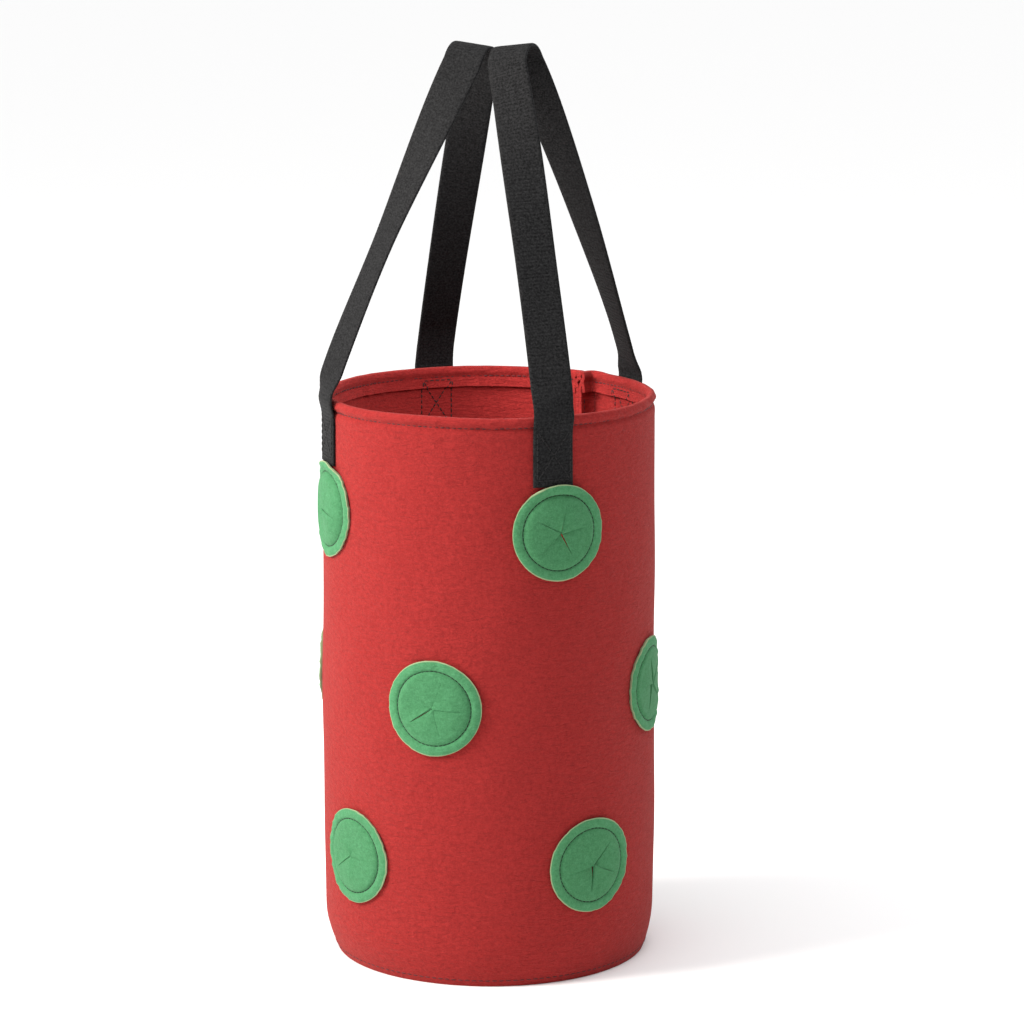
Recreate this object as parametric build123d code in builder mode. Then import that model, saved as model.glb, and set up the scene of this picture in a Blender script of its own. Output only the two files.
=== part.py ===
# Felt grow bag for hanging or standing: a round bag of needle-punched felt with a folded rim,
# twelve slit planting ports and two carrying loops of flat webbing.
# Millimetres. +Z up, the origin at the centre of the underside, +X towards the right-hand loop.
from build123d import *
from math import atan2, cos, degrees, hypot, radians, sin, sqrt
import os

os.makedirs("parts", exist_ok=True)

# ---- driving dimensions ------------------------------------------------------------------
bag_height = 344.0            # underside to the top of the rim
outer_radius = 100.0          # outer face of the side wall
felt_thickness = 2.0          # wall and bottom felt
patch_thickness = 1.5         # thinner felt of the planting ports
sewn_gap = 0.1                # clearance between faces that are sewn together
thread_width = 0.8
thread_thickness = 0.5

corner_height = 28.0          # the wall starts to draw in below this height
corner_drop = 5.0             # how much smaller the radius is at the underside
bottom_flange_height = 9.0    # the bottom panel's edge turns up inside the wall to here
bottom_stitch_height = 4.0

hem_depth = 13.0              # the rim is folded inwards by this much
rim_stitch_drop = 6.0         # topstitch, below the top of the rim
seam_angle = 73.0             # side seam, where both ends of the wall turn inwards
seam_fin_depth = 8.0          # from the wall's inner face inwards
seam_slit = 0.3               # between the two turned-in ends
seam_stitch_depth = 4.0       # side seam thread, in from the wall's inner face
seam_thread_margin = 5.0      # the seam thread stops this short of the hem and of the bottom panel
seam_keepout = 6.0            # the rim's inner thread stops this far to each side of the seam

webbing_width = 25.0
webbing_thickness = 1.8
strap_sewn_length = 39.0      # sewn part of each strap end, below the rim
left_front_raise = 3.0        # the left front strap end and its port sit this much higher
strap_stub = 2.0              # the sewn end stands this far above the rim
stitch_margin = 2.5           # box stitch, in from the webbing's edges
stitch_top_drop = 8.0         # top of the box stitch, below the rim
stitch_foot = 2.0             # bottom of the box stitch, above the strap's cut end

right_strap_angles = (-46.2, 53.5)
left_strap_angles = (131.7, -139.9)

loop_foot_rise = 6.0          # lower end of each loop, above the rim
crest_rise = 207.5            # centre of the webbing at the top of each loop, above the rim
crest_bend_radius = 15.0
crest_gap = 1.3               # between the two crests, side by side
crest_shift = 3.2             # the pair of crests stands this far towards +X
leg_spread_angle = 21.0       # the legs converge upwards at this angle
leg_lean_angle = 20.5         # and lean inwards at this one
crest_tilt_angle = 7.0        # the webbing's width at the crest, from level
foot_stiffness = 12.0         # length over which a leg leaves the rim upright
crest_stiffness = 42.0        # length over which it goes into the crest's bend
leg_sections = 9
crest_sections = 8
twist_power = 1.8             # above 1 the webbing does most of its twisting near the crest

patch_radius = 28.5
ring_stitch_inset = 6.0       # ring of stitches, in from the patch's edge
hole_inset = 2.0              # hole in the wall behind each patch, in from the ring of stitches
slit_length = 17.0
slit_width = 0.8
slit_count = 5
patch_below_strap = 1.0       # between the strap's cut end and the top row of patches
bottom_row_height = 71.5
middle_row_drop = 2.5         # the middle row is this far below the midpoint of the other two
middle_row_angle = 3.3
bottom_row_angle = -31.0
patches_per_row = 4
top_row_angles = (-43.9, 53.5, 131.7, -138.6)    # each under a strap end

# ---- places that follow from them ----------------------------------------------------------
inner_radius = outer_radius - felt_thickness
hem_radius = inner_radius - felt_thickness
outside_face = outer_radius + sewn_gap
webbing_mid_radius = outside_face + webbing_thickness / 2
webbing_outer_radius = outside_face + webbing_thickness
patch_outer_radius = outside_face + patch_thickness
corner_radius = (corner_height**2 + corner_drop**2) / (2 * corner_drop)
corner_centre = outer_radius - corner_radius
strap_bottom = bag_height - strap_sewn_length
ring_radius = patch_radius - ring_stitch_inset
hole_radius = ring_radius - hole_inset
top_row_height = strap_bottom - patch_below_strap - patch_radius
middle_row_height = (top_row_height + bottom_row_height) / 2 - middle_row_drop
quarter = 360 / patches_per_row
middle_row_angles = [middle_row_angle + quarter * k for k in range(patches_per_row)]
bottom_row_angles = [bottom_row_angle + quarter * k for k in range(patches_per_row)]
top_row_heights = [top_row_height] * 3 + [top_row_height + left_front_raise]
# each row's heights, the ports' angles round the bag and the turn of each port's first slit
port_rows = {"top": (top_row_heights, top_row_angles, (8, 50, 29, 62)),
             "middle": ([middle_row_height] * patches_per_row, middle_row_angles, (34, 12, 57, 70)),
             "bottom": ([bottom_row_height] * patches_per_row, bottom_row_angles, (47, 18, 66, 71))}


def corner_arc_radius(inset, height):
    """Radius of the surface that lies `inset` inside the drawn-in corner, at a height."""
    return corner_centre + sqrt((corner_radius - inset)**2 - (corner_height - height)**2)


def radial_plane(angle, height):
    """Plane through the axis that faces outwards: x runs round the bag, y runs up."""
    a = radians(angle)
    return Plane(origin=(0, 0, height), x_dir=(-sin(a), cos(a), 0), z_dir=(cos(a), sin(a), 0))


def finish(builder, name):
    """Label a finished piece and write it."""
    builder.part.label = name
    export_step(builder.part, f"parts/{name}.step")


# ---- side wall: one length of felt, folded at the rim, its ends turned in at the seam -------
hem_bottom = bag_height - hem_depth
rim_round = felt_thickness
with BuildPart() as side_wall:
    with BuildSketch(Plane.XZ) as wall_profile:
        with BuildLine():
            knee_out = (outer_radius, corner_height)
            knee_in = (inner_radius, corner_height)
            foot_out = (corner_arc_radius(0, 0), 0)
            foot_in = (corner_arc_radius(felt_thickness, 0), 0)
            TangentArc(knee_out, foot_out, tangent=(0, -1))
            Line(foot_out, foot_in)
            TangentArc(knee_in, foot_in, tangent=(0, -1))
            Line(knee_in, (inner_radius, hem_bottom))
            Line((inner_radius, hem_bottom), (hem_radius, hem_bottom))
            Line((hem_radius, hem_bottom), (hem_radius, bag_height - rim_round))
            ThreePointArc((hem_radius, bag_height - rim_round),
                          (inner_radius, bag_height),
                          (outer_radius, bag_height - rim_round))
            Line((outer_radius, bag_height - rim_round), knee_out)
        make_face()
    revolve(axis=Axis.Z)
    # the two ends of the wall, side by side, and thicker where the rim is folded
    fin_base = bottom_flange_height + sewn_gap
    for layers, low, high in ((1, fin_base, hem_bottom), (2, hem_bottom, bag_height - rim_round)):
        fin_plane = radial_plane(seam_angle, (low + high) / 2).offset(inner_radius - seam_fin_depth)
        with BuildSketch(fin_plane):
            Rectangle(2 * layers * felt_thickness + seam_slit, high - low)
        extrude(amount=seam_fin_depth + felt_thickness / 2)
    with BuildSketch(radial_plane(seam_angle, bag_height / 2).offset(hem_radius - 2 * seam_fin_depth)):
        Rectangle(seam_slit, bag_height + 2)
    extrude(amount=4 * seam_fin_depth, mode=Mode.SUBTRACT)
    # the holes behind the ports
    for heights, angles, slit_turns in port_rows.values():
        for height, angle in zip(heights, angles):
            with BuildSketch(radial_plane(angle, height)):
                Circle(hole_radius)
            extrude(amount=2 * outer_radius, mode=Mode.SUBTRACT)
    # groove that the rim topstitch sinks into, outside and inside
    groove = thread_thickness + 2 * sewn_gap
    with BuildSketch(Plane.XZ):
        with Locations((outer_radius, bag_height - rim_stitch_drop),
                       (hem_radius, bag_height - rim_stitch_drop),
                       (corner_arc_radius(0, bottom_stitch_height), bottom_stitch_height)):
            Rectangle(2 * groove, thread_width + 2 * sewn_gap)
    revolve(axis=Axis.Z, mode=Mode.SUBTRACT)
finish(side_wall, "side_wall")

# ---- bottom panel: a felt disc, and its edge that turns up inside the wall -------------------
panel_inset = felt_thickness + sewn_gap
flange_inset = panel_inset + felt_thickness
bend_radius = corner_arc_radius(flange_inset, 0)
with BuildPart() as bottom_panel:
    with BuildSketch():
        Circle(bend_radius - sewn_gap)
    extrude(amount=felt_thickness)
finish(bottom_panel, "bottom_panel")

with BuildPart() as bottom_flange:
    with BuildSketch(Plane.XZ):
        with BuildLine():
            outer, inner = [[(corner_arc_radius(inset, height), height)
                             for height in (0, bottom_flange_height / 2, bottom_flange_height)]
                            for inset in (panel_inset, flange_inset)]
            ThreePointArc(*outer)
            Line(outer[2], inner[2])
            ThreePointArc(*inner)
            Line(inner[0], outer[0])
        make_face()
    revolve(axis=Axis.Z)
finish(bottom_flange, "bottom_flange")

# ---- threads of the rim, the bottom edge and the side seam ----------------------------------
with BuildPart() as rim_topstitch:
    with BuildSketch(Plane.XZ):
        with Locations((outer_radius - groove + sewn_gap + thread_thickness / 2,
                        bag_height - rim_stitch_drop),
                       (hem_radius + groove - sewn_gap - thread_thickness / 2,
                        bag_height - rim_stitch_drop)):
            Rectangle(thread_thickness, thread_width)
    revolve(axis=Axis.Z)
    with BuildSketch(radial_plane(seam_angle, bag_height - rim_stitch_drop)):
        Rectangle(2 * seam_keepout, 4 * thread_width)
    extrude(amount=inner_radius, mode=Mode.SUBTRACT)
finish(rim_topstitch, "rim_topstitch")

with BuildPart() as bottom_edge_stitch:
    with BuildSketch(Plane.XZ):
        with Locations((corner_arc_radius(0, bottom_stitch_height) - groove + sewn_gap
                        + thread_thickness / 2, bottom_stitch_height)):
            Rectangle(thread_thickness, thread_width)
    revolve(axis=Axis.Z)
finish(bottom_edge_stitch, "bottom_edge_stitch")

seam_thread_length = hem_bottom - bottom_flange_height - 2 * seam_thread_margin
with BuildPart() as side_seam_thread:
    seam_thread_radius = inner_radius - seam_stitch_depth
    fin_face = felt_thickness + seam_slit / 2 + sewn_gap + thread_thickness / 2
    with BuildSketch(radial_plane(seam_angle, (hem_bottom + bottom_flange_height) / 2)
                     .offset(seam_thread_radius)):
        with Locations((fin_face, 0), (-fin_face, 0)):
            Rectangle(thread_thickness, seam_thread_length)
    extrude(amount=thread_width)
finish(side_seam_thread, "side_seam_thread")


# ---- sewn ends of the webbing and their box stitches ----------------------------------------
strap_ends = {"right_front": right_strap_angles[0], "right_back": right_strap_angles[1],
              "left_back": left_strap_angles[0], "left_front": left_strap_angles[1]}
stitch_top = bag_height - stitch_top_drop
stitch_width = webbing_width - 2 * stitch_margin
cross_width = stitch_width - thread_width
strap_top = bag_height + strap_stub

for place, angle in strap_ends.items():
    cut_end = strap_bottom + (left_front_raise if place == "left_front" else 0)
    stitch_bottom = cut_end + stitch_foot
    stitch_height = stitch_top - stitch_bottom
    cross_height = stitch_height - thread_width
    cross_turn = degrees(atan2(cross_height, cross_width))
    with BuildPart() as strap_end:
        with BuildSketch(radial_plane(angle, (strap_top + cut_end) / 2)):
            Rectangle(webbing_width, strap_top - cut_end)
        extrude(amount=2 * outer_radius)
        with BuildSketch(Plane.XY.offset(cut_end - 1)):
            Circle(webbing_outer_radius)
            Circle(outside_face, mode=Mode.SUBTRACT)
        extrude(amount=strap_top - cut_end + 2, mode=Mode.INTERSECT)
    finish(strap_end, f"{place}_strap_end")

    with BuildPart() as box_stitch:
        with BuildSketch(radial_plane(angle, (stitch_top + stitch_bottom) / 2)):
            Rectangle(stitch_width, stitch_height)
            Rectangle(stitch_width - 2 * thread_width, stitch_height - 2 * thread_width,
                      mode=Mode.SUBTRACT)
            for turn in (cross_turn, -cross_turn):
                Rectangle(hypot(cross_width, cross_height), thread_width, rotation=turn)
        extrude(amount=2 * outer_radius)
        # outside it lies on the webbing, inside on the wall below the hem and on the hem
        with BuildSketch(Plane.XZ):
            low, mid, high = stitch_bottom - 1, hem_bottom, stitch_top + 1
            for face, start, end in ((webbing_outer_radius + sewn_gap, low, high),
                                     (inner_radius - sewn_gap - thread_thickness, low, mid - sewn_gap),
                                     (hem_radius - sewn_gap - thread_thickness, mid + sewn_gap, high)):
                with Locations((face, start)):
                    Rectangle(thread_thickness, end - start, align=(Align.MIN, Align.MIN))
        revolve(axis=Axis.Z, mode=Mode.INTERSECT)
    finish(box_stitch, f"{place}_box_stitch")


# ---- planting ports: slit felt discs, each sewn over a hole in the wall ----------------------
for row, (heights, angles, slit_turns) in port_rows.items():
    for number, (height, angle, slit_turn) in enumerate(zip(heights, angles, slit_turns), start=1):
        with BuildPart() as port_patch:
            with BuildSketch(radial_plane(angle, height)):
                Circle(patch_radius)
                with PolarLocations(slit_length / 2, slit_count, start_angle=slit_turn):
                    Rectangle(slit_length, slit_width, mode=Mode.SUBTRACT)
            extrude(amount=2 * outer_radius)
            with BuildSketch(Plane.XY.offset(height - patch_radius - 1)):
                Circle(patch_outer_radius)
                Circle(outside_face, mode=Mode.SUBTRACT)
            extrude(amount=2 * patch_radius + 2, mode=Mode.INTERSECT)
        finish(port_patch, f"{row}_port_{number}")

        with BuildPart() as ring_stitch:
            with BuildSketch(radial_plane(angle, height)):
                Circle(ring_radius + thread_width / 2)
                Circle(ring_radius - thread_width / 2, mode=Mode.SUBTRACT)
            extrude(amount=2 * outer_radius)
            with BuildSketch(Plane.XY.offset(height - patch_radius)):
                Circle(patch_outer_radius + sewn_gap + thread_thickness)
                Circle(patch_outer_radius + sewn_gap, mode=Mode.SUBTRACT)
            extrude(amount=2 * patch_radius, mode=Mode.INTERSECT)
        finish(ring_stitch, f"{row}_port_{number}_ring_stitch")


# ---- carrying loops: one length of webbing each, free above the sewn ends --------------------
# Each leg is a Bezier from the rim to the crest, and the crest is an arc between the legs.
def leg_path(foot, crest_start, climb, t):
    """Point and direction at t, from an upright start at the foot to the crest's direction."""
    p = (foot, foot + Vector(0, 0, foot_stiffness), crest_start - climb * crest_stiffness, crest_start)
    weights = ((1 - t)**3, 3 * t * (1 - t)**2, 3 * t * t * (1 - t), t**3)
    point = Vector(0, 0, 0)
    for weight, corner in zip(weights, p):
        point += corner * weight
    slope = ((p[1] - p[0]) * (1 - t)**2 + (p[2] - p[1]) * (2 * t * (1 - t)) + (p[3] - p[2]) * t * t)
    return point, slope.normalized()


def section_plane(point, direction, width_direction):
    """Plane across the webbing, with x along its width."""
    across = width_direction - direction * width_direction.dot(direction)
    return Plane(origin=point, x_dir=across.normalized(), z_dir=direction)


def loop_sections(front_angle, back_angle, side):
    """Planes along one loop, from the front foot over the crest to the back foot."""
    lean = radians(leg_lean_angle)
    tilt = radians(crest_tilt_angle)
    up = Vector(-side * sin(tilt), 0, cos(tilt))
    crest_width = Vector(cos(tilt), 0, side * sin(tilt))
    crest_x = crest_shift + side * (webbing_width * cos(tilt) + crest_gap) / 2
    top = Vector(crest_x, 0, bag_height + crest_rise)
    bend_centre = top - up * crest_bend_radius
    turn = radians(90 - leg_spread_angle)
    legs = []
    for angle, toward in ((front_angle, -1), (back_angle, 1)):
        a = radians(angle)
        foot = Vector(webbing_mid_radius * cos(a), webbing_mid_radius * sin(a),
                      bag_height + loop_foot_rise)
        crest_start = bend_centre + (Vector(0, toward, 0) * sin(turn) + up * cos(turn)) * crest_bend_radius
        climb = Vector(-side * sin(lean), 0, cos(lean)) * sin(turn) - Vector(0, toward, 0) * cos(turn)
        round_bag = Vector(-sin(a), cos(a), 0)
        if round_bag.X < 0:
            round_bag = round_bag * -1
        planes = []
        for k in range(leg_sections):
            t = k / leg_sections
            point, direction = leg_path(foot, crest_start, climb, t)
            twisted = (1 - cos(radians(180) * t**twist_power)) / 2
            width = round_bag * (1 - twisted) + crest_width * twisted
            planes.append(section_plane(point, direction, width))
        legs.append(planes)
    crest = []
    for k in range(crest_sections + 1):
        bend = turn * (1 - 2 * k / crest_sections)
        away = Vector(0, -1, 0) * sin(bend) + up * cos(bend)
        along = Vector(0, 1, 0) * cos(bend) + up * sin(bend)
        crest.append(section_plane(bend_centre + away * crest_bend_radius, along, crest_width))
    back = [Plane(origin=p.origin, x_dir=p.x_dir, z_dir=-p.z_dir) for p in reversed(legs[1])]
    return legs[0] + crest + back


loops = {"right": (right_strap_angles[0], right_strap_angles[1], 1),
         "left": (left_strap_angles[1], left_strap_angles[0], -1)}
for name, (front_angle, back_angle, side) in loops.items():
    sections = loop_sections(front_angle, back_angle, side)
    with BuildPart() as webbing_loop:
        for plane in sections:
            with BuildSketch(plane):
                Rectangle(webbing_width, webbing_thickness)
        loft(ruled=True)
    finish(webbing_loop, f"{name}_webbing_loop")
    length = sum((b.origin - a.origin).length for a, b in zip(sections, sections[1:]))
    print(name, "loop, free length", round(length, 1), "volume", round(webbing_loop.part.volume, 1))
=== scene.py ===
"""Looks of a felt grow bag with slit planting ports and two webbing loops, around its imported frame."""
import math

import bpy
import numpy as np
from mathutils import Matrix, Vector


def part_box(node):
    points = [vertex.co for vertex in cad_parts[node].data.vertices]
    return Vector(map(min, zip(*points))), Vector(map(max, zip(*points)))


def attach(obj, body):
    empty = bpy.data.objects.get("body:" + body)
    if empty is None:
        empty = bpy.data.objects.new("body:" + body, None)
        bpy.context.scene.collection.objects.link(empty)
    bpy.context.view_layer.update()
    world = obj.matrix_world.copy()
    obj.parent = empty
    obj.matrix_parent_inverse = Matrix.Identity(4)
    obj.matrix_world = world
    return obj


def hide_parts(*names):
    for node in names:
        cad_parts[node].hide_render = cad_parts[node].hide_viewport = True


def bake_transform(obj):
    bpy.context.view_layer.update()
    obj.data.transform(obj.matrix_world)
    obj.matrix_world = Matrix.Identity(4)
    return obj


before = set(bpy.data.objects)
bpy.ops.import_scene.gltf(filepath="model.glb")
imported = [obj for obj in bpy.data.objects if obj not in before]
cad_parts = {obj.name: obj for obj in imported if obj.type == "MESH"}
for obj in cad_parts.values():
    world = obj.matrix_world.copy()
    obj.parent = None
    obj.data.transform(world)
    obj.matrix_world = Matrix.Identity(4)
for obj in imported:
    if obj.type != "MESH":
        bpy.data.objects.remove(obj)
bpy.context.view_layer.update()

# ---- sizes, in millimetres: shapes are worked out in them and become metres in add_mesh ------
MM = 0.001
RIM_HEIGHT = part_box("side_wall")[1][2] / MM
WALL_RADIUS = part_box("side_wall")[1][0] / MM
PORT_RADIUS = (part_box("middle_port_1")[1][2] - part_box("middle_port_1")[0][2]) / MM / 2
FELT = 2.0                   # wall and bottom
PORT_FELT = 1.5
CORNER_HEIGHT = 28.0         # the wall draws in below this height
CORNER_DROP = 5.0
BELLY = 1.3                  # the filled-out wall stands this far proud at mid height
WEBBING_WIDTH = 25.0
WEBBING_THICKNESS = 1.7
RIM_STITCH_DROP = 6.0
EDGE_STITCH_HEIGHT = 4.0
HEM_DEPTH = 13.0


def node_azimuth(node):
    """Middle of the angles that a CAD node takes up round the bag's axis, in radians."""
    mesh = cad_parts[node].data
    points = np.empty(len(mesh.vertices) * 3)
    mesh.vertices.foreach_get("co", points)
    x, y = points.reshape(-1, 3)[:, 0], points.reshape(-1, 3)[:, 1]
    rough = math.atan2(y.mean(), x.mean())
    turned = np.angle(np.exp(1j * (np.arctan2(y, x) - rough)))
    return rough + (turned.min() + turned.max()) / 2


def node_height(node):
    """Height of the middle of a CAD node, in millimetres."""
    low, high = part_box(node)
    return (low[2] + high[2]) / 2 / MM


SEAM_AZIMUTH = node_azimuth("side_seam_thread")


def smooth(x, low, high):
    """0 below low, 1 above high, and 3t^2 - 2t^3 between."""
    t = np.clip((x - low) / (high - low), 0.0, 1.0)
    return t * t * (3 - 2 * t)


def through(x, points):
    """A smooth curve through (x, y) points: the cubic Hermite with the slopes of their neighbours."""
    px, py = np.array(points, float).T
    slope = np.gradient(py, px)
    i = np.clip(np.searchsorted(px, x) - 1, 0, len(px) - 2)
    span = px[i + 1] - px[i]
    t = np.clip((x - px[i]) / span, 0.0, 1.0)
    return ((2 * t**3 - 3 * t**2 + 1) * py[i] + (t**3 - 2 * t**2 + t) * span * slope[i]
            + (3 * t**2 - 2 * t**3) * py[i + 1] + (t**3 - t**2) * span * slope[i + 1])


# ---- making meshes ---------------------------------------------------------------------------
def add_mesh(name, points, faces, uv, material):
    """A smooth-shaded mesh from points in millimetres, faces, and one uv in metres per point."""
    mesh = bpy.data.meshes.new(name)
    mesh.from_pydata((np.asarray(points).reshape(-1, 3) * MM).tolist(), [], faces)
    mesh.polygons.foreach_set("use_smooth", np.ones(len(mesh.polygons), bool))
    corners = np.empty(len(mesh.loops), int)
    mesh.loops.foreach_get("vertex_index", corners)
    layer = mesh.uv_layers.new(name="UVMap")
    layer.data.foreach_set("uv", (np.asarray(uv).reshape(-1, 2)[corners]).ravel())
    mesh.materials.append(material)
    mesh.validate()
    obj = bpy.data.objects.new(name, mesh)
    bpy.context.scene.collection.objects.link(obj)
    return obj


def grid_faces(rows, cols, wrap=False, first=0):
    """Quads of a rows by cols grid of points, column after column in a row; wrap joins its last column."""
    r, c = np.meshgrid(np.arange(rows - 1), np.arange(cols if wrap else cols - 1), indexing="ij")
    right = (c + 1) % cols
    quads = np.stack([r * cols + c, r * cols + right, (r + 1) * cols + right, (r + 1) * cols + c], -1)
    return quads.reshape(-1, 4) + first


def thicken(obj, thickness, edge_round):
    """Gives a sheet its thickness, half to each side, and rounds its cut edges."""
    solid = obj.modifiers.new("thickness", "SOLIDIFY")
    solid.thickness = thickness * MM
    solid.offset = 0.0
    solid.use_even_offset = True
    solid.material_offset_rim = len(obj.data.materials) - 1
    edge = obj.modifiers.new("edge", "BEVEL")
    edge.width = edge_round * MM
    edge.segments = 2
    edge.limit_method = "ANGLE"
    edge.angle_limit = math.radians(50)


# ---- the wall's surface ----------------------------------------------------------------------
def wall_radius(azimuth, z):
    """Outer radius of the wall: an arc draws it in towards the base, a half sine swells it at mid
    height, and a few slow waves round it make it soft."""
    arc = (CORNER_HEIGHT**2 + CORNER_DROP**2) / (2 * CORNER_DROP)
    below = np.clip(CORNER_HEIGHT - z, 0.0, CORNER_HEIGHT)
    share = np.clip(z / RIM_HEIGHT, 0.0, 1.0)
    belly = BELLY * np.sin(math.pi * share**0.75)
    ease = np.sin(math.pi * np.clip(share, 0.04, 0.96))
    waves = (0.42 * np.sin(2 * azimuth + 0.9 + 0.010 * z) + 0.30 * np.sin(5 * azimuth - 0.021 * z)
             + 0.22 * np.sin(9 * azimuth + 0.045 * z) + 0.16 * np.sin(14 * azimuth - 0.075 * z + 2.0))
    tucked = 1.6 * smooth(below, 4.0, CORNER_HEIGHT) * np.maximum(np.cos(azimuth + 2.5), 0)**2
    return WALL_RADIUS - (arc - np.sqrt(arc**2 - below**2)) + belly + waves * ease - tucked


def on_wall(azimuth, across, z, height):
    """Points at a distance across (millimetres round the bag) from an azimuth, at a height off the wall."""
    turned = azimuth + across / WALL_RADIUS
    radius = wall_radius(turned, z) + height
    return np.stack([radius * np.cos(turned), radius * np.sin(turned), z + 0 * radius], -1)


# ---- materials -------------------------------------------------------------------------------
def linear(hex_colour):
    """sRGB hex to linear RGBA."""
    channels = [int(hex_colour[i:i + 2], 16) / 255 for i in (1, 3, 5)]
    return [c / 12.92 if c <= 0.04045 else ((c + 0.055) / 1.055)**2.4 for c in channels] + [1.0]


def add_node(material, kind, links=(), **settings):
    """Adds a node. Names of settings are its properties, or its inputs where it has no such property;
    links are (input, node, output)."""
    node = material.node_tree.nodes.new(kind)
    for key, value in settings.items():
        if hasattr(node, key):
            setattr(node, key, value)
        else:
            node.inputs[key.replace("_", " ")].default_value = value
    for socket, source, output in links:
        material.node_tree.links.new(source.outputs[output], node.inputs[socket])
    return node


def new_material(name, **sockets):
    """A Principled material with constant values straight on its sockets."""
    material = bpy.data.materials.new(name)
    material.use_nodes = True
    shader = material.node_tree.nodes["Principled BSDF"]
    for key, value in sockets.items():
        shader.inputs[key.replace("_", " ")].default_value = value
    return material, shader


def felt(name, pale, mid, deep, crease, tint, edge=None, middle=None):
    """Needle-punched felt: matted fibres half a millimetre thick, barbed together by needles. The eye
    sees a matte cloth with a fine mottle, short creases from handling, and no weave. A disc also
    has edge and middle, each (distance from the uv's zero in metres, colour): its cut edge beyond that
    distance, and a painted shade within it that multiplies the felt's own colour, for the puffed
    middle turned away from the light."""
    material, shader = new_material(name, Roughness=0.94, IOR=1.46, Specular_IOR_Level=0.15,
                                    Sheen_Weight=0.09, Sheen_Roughness=0.55, Sheen_Tint=linear(tint))
    place = add_node(material, "ShaderNodeTexCoord")
    # mottle of fibre clumps, 2.5 mm, and of single tufts, 0.9 mm
    clumps = add_node(material, "ShaderNodeTexNoise", [("Vector", place, "Object")],
                      Scale=400.0, Detail=4.0, Roughness=0.7)
    tufts = add_node(material, "ShaderNodeTexNoise", [("Vector", place, "Object")],
                     Scale=1100.0, Detail=3.0, Roughness=0.7)
    blend = add_node(material, "ShaderNodeMix", [("Factor", tufts, "Fac")], data_type="FLOAT")
    blend.inputs[0].default_value = 0.5
    material.node_tree.links.new(clumps.outputs["Fac"], blend.inputs[2])
    material.node_tree.links.new(tufts.outputs["Fac"], blend.inputs[3])
    shade = add_node(material, "ShaderNodeValToRGB", [("Fac", blend, "Result")])
    shade.color_ramp.elements[0].position, shade.color_ramp.elements[0].color = 0.3, linear(deep)
    shade.color_ramp.elements[1].position, shade.color_ramp.elements[1].color = 0.7, linear(pale)
    shade.color_ramp.elements.new(0.5).color = linear(mid)
    # creases, 7 mm long and 2 mm high, that run round the piece
    stretch = add_node(material, "ShaderNodeMapping", [("Vector", place, "UV")],
                       Scale=(150.0, 480.0, 1.0))
    creases = add_node(material, "ShaderNodeTexNoise", [("Vector", stretch, "Vector")],
                       Scale=1.0, Detail=4.0, Roughness=0.6, Distortion=0.9)
    dents = add_node(material, "ShaderNodeTexNoise", [("Vector", place, "Object")],
                     Scale=60.0, Detail=2.0, Roughness=0.5)
    fuzz = add_node(material, "ShaderNodeBump", [("Height", tufts, "Fac")],
                    Strength=0.35, Distance=0.0006)
    folded = add_node(material, "ShaderNodeBump", [("Height", creases, "Fac"), ("Normal", fuzz, "Normal")],
                      Strength=crease, Distance=0.0012)
    dented = add_node(material, "ShaderNodeBump", [("Height", dents, "Fac"), ("Normal", folded, "Normal")],
                      Strength=0.4, Distance=0.0015)
    colour = shade.outputs["Color"]
    if edge:
        # painted shade: within the ring of stitches the disc's colour is multiplied a little darker, for
        # the puffed middle turned away from the light
        away = add_node(material, "ShaderNodeVectorMath", [("Vector", place, "UV")], operation="LENGTH")
        within = add_node(material, "ShaderNodeMapRange", [("Value", away, "Value")],
                          From_Min=middle[0] + 0.0006, From_Max=middle[0] - 0.0006)
        painted_shade_within_ring = add_node(material, "ShaderNodeMix", data_type="RGBA", blend_type="MULTIPLY")
        painted_shade_within_ring.inputs[7].default_value = linear(middle[1])
        material.node_tree.links.new(within.outputs["Result"], painted_shade_within_ring.inputs[0])
        material.node_tree.links.new(colour, painted_shade_within_ring.inputs[6])
        colour = painted_shade_within_ring.outputs[2]
        beyond = add_node(material, "ShaderNodeMapRange", [("Value", away, "Value")],
                          From_Min=edge[0] - 0.0003, From_Max=edge[0] + 0.0001)
        cut = add_node(material, "ShaderNodeMix", data_type="RGBA")
        cut.inputs[7].default_value = linear(edge[1])
        material.node_tree.links.new(beyond.outputs["Result"], cut.inputs[0])
        material.node_tree.links.new(colour, cut.inputs[6])
        colour = cut.outputs[2]
    material.node_tree.links.new(colour, shader.inputs["Base Color"])
    material.node_tree.links.new(dented.outputs["Normal"], shader.inputs["Normal"])
    return material


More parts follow.
